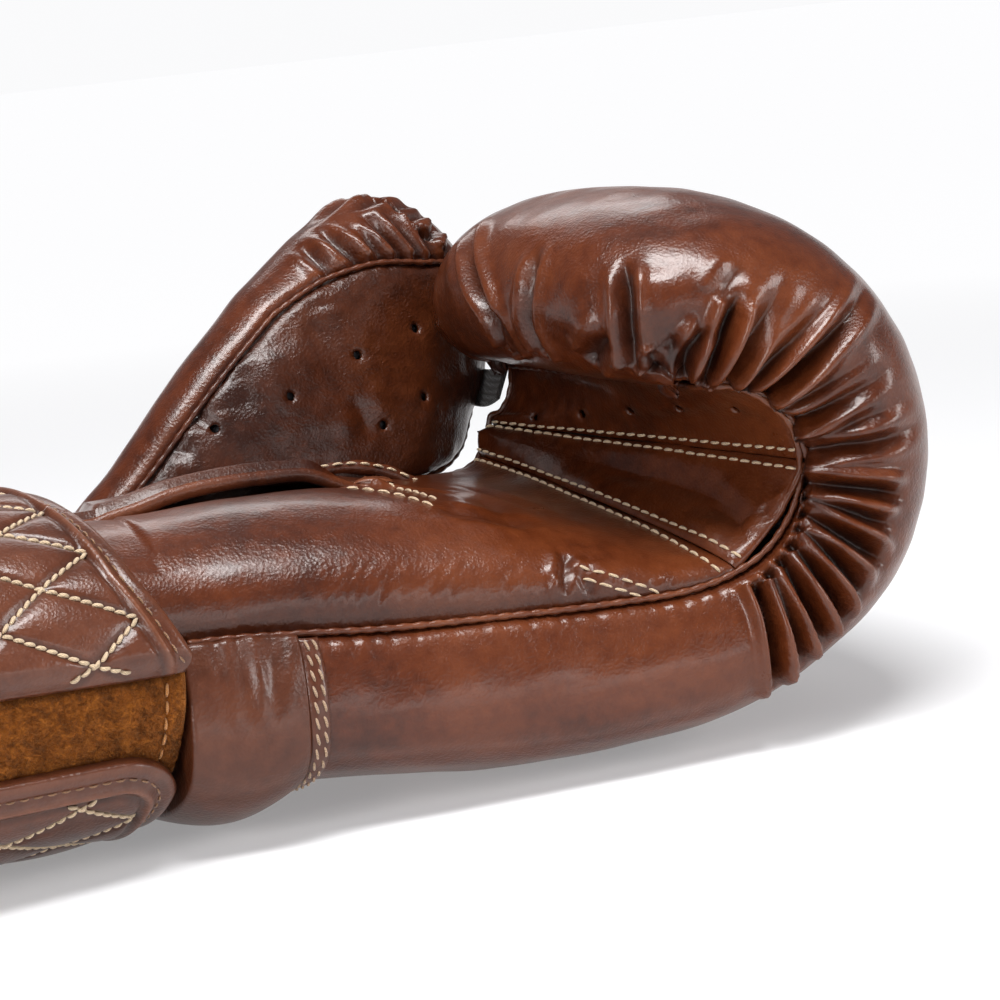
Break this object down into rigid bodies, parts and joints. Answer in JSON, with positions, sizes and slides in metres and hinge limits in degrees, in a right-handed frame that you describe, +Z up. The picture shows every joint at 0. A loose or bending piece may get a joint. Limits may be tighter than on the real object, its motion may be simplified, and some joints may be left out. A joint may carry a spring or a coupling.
{
  "type": "boxing glove",
  "caption": "Padded leather boxing glove for the left hand with a curled fist, a tied-down thumb, an entry slit and a quilted wrap-round hook-and-loop wrist strap.",
  "frame": {"origin": "middle of the glove's outline on the surface it lies on", "axes": "+X along the glove from the cuff to the knuckles, +Y to the thumb, +Z up to the palm; the glove lies on its back"},
  "size_m": [0.3094, 0.1674, 0.1352],
  "materials": {
    "shell_leather": "glossy chestnut-brown cowhide, darker in the folds, worn paler on the ridges",
    "panel_leather": "glossy brown leather with fine grain",
    "band_leather": "dark plum-brown soft leather",
    "strap_leather": "brown leather, quilted in diamonds with thick cream thread",
    "trim_leather": "rolled brown leather binding",
    "foam": "closed-cell padding foam",
    "lining_cloth": "dark woven lining cloth",
    "loop_cloth": "tan-orange napped loop cloth",
    "hook_tape": "dark hook tape",
    "webbing": "dark woven webbing"
  },
  "bodies": {
    "glove_body": {"back_shell": "shell_leather", "palm_panel": "panel_leather", "grip_bar_cover": "panel_leather", "grip_bar_foam": "foam", "finger_vent_panel": "panel_leather", "knuckle_foam_outer": "foam", "knuckle_foam_inner": "foam", "palm_foam_little": "foam", "palm_foam_thumb": "foam", "hand_lining": "lining_cloth", "wrist_band": "band_leather", "wrist_seam_strip": "trim_leather", "wrist_foam": "foam", "cuff_back_panel": "panel_leather", "cuff_flap_little": "panel_leather", "cuff_flap_thumb": "panel_leather", "cuff_foam_back": "foam", "cuff_foam_little": "foam", "cuff_foam_thumb": "foam", "cuff_lining": "lining_cloth", "cuff_rim_binding": "trim_leather", "slit_binding_little": "trim_leather", "slit_binding_thumb": "trim_leather", "slit_stop_tab": "trim_leather", "loop_panel": "loop_cloth", "thumb_gusset": "trim_leather", "thumb_base_binding": "trim_leather", "thumb_lock_strap": "webbing"},
    "strap_palm": {"strap_palm_cover": "strap_leather", "strap_palm_padding": "foam", "strap_palm_backing": "strap_leather"},
    "strap_side": {"strap_side_cover": "strap_leather", "strap_side_padding": "foam", "strap_side_backing": "strap_leather"},
    "strap_back": {"strap_back_cover": "strap_leather", "strap_back_padding": "foam", "strap_back_backing": "strap_leather"},
    "strap_tip": {"strap_tip_cover": "strap_leather", "strap_tip_padding": "foam", "strap_tip_backing": "strap_leather", "hook_patch": "hook_tape"},
    "thumb": {"thumb_outer_shell": "shell_leather", "thumb_inner_panel": "panel_leather", "thumb_foam_outer": "foam", "thumb_foam_inner": "foam", "thumb_lining": "lining_cloth"}
  },
  "joints": [
    {"name": "strap_open", "type": "hinge", "parent": "glove_body", "child": "strap_palm", "pos_m": [-0.09221, -0.07039, 0.0488], "axis": [0.994, 0, -0.1097], "range_deg": [0, 50]},
    {"name": "strap_side_bend", "type": "hinge", "parent": "strap_palm", "child": "strap_side", "pos_m": [-0.0896, 0.02616, 0.07245], "axis": [0.994, 0, -0.1097], "range_deg": [0, 80]},
    {"name": "strap_back_bend", "type": "hinge", "parent": "strap_side", "child": "strap_back", "pos_m": [-0.09529, 0.03425, 0.02093], "axis": [0.994, 0, -0.1097], "range_deg": [0, 80]},
    {"name": "strap_tip_bend", "type": "hinge", "parent": "strap_back", "child": "strap_tip", "pos_m": [-0.09715, -0.04023, 0.0041], "axis": [0.994, 0, -0.1097], "range_deg": [0, 50]},
    {"name": "thumb_flex", "type": "hinge", "parent": "glove_body", "child": "thumb", "pos_m": [0.01431, 0.04319, 0.0659], "axis": [0.994, 0, -0.1097], "range_deg": [-8, 2], "stiffness_Nm_per_rad": 2, "deforming": ["thumb_gusset", "thumb_lock_strap"]}
  ],
  "couplings": [
    {"joint": "strap_side_bend", "follows": "strap_open", "ratio": 1.6},
    {"joint": "strap_back_bend", "follows": "strap_open", "ratio": 1.6},
    {"joint": "strap_tip_bend", "follows": "strap_open", "ratio": 1}
  ]
}
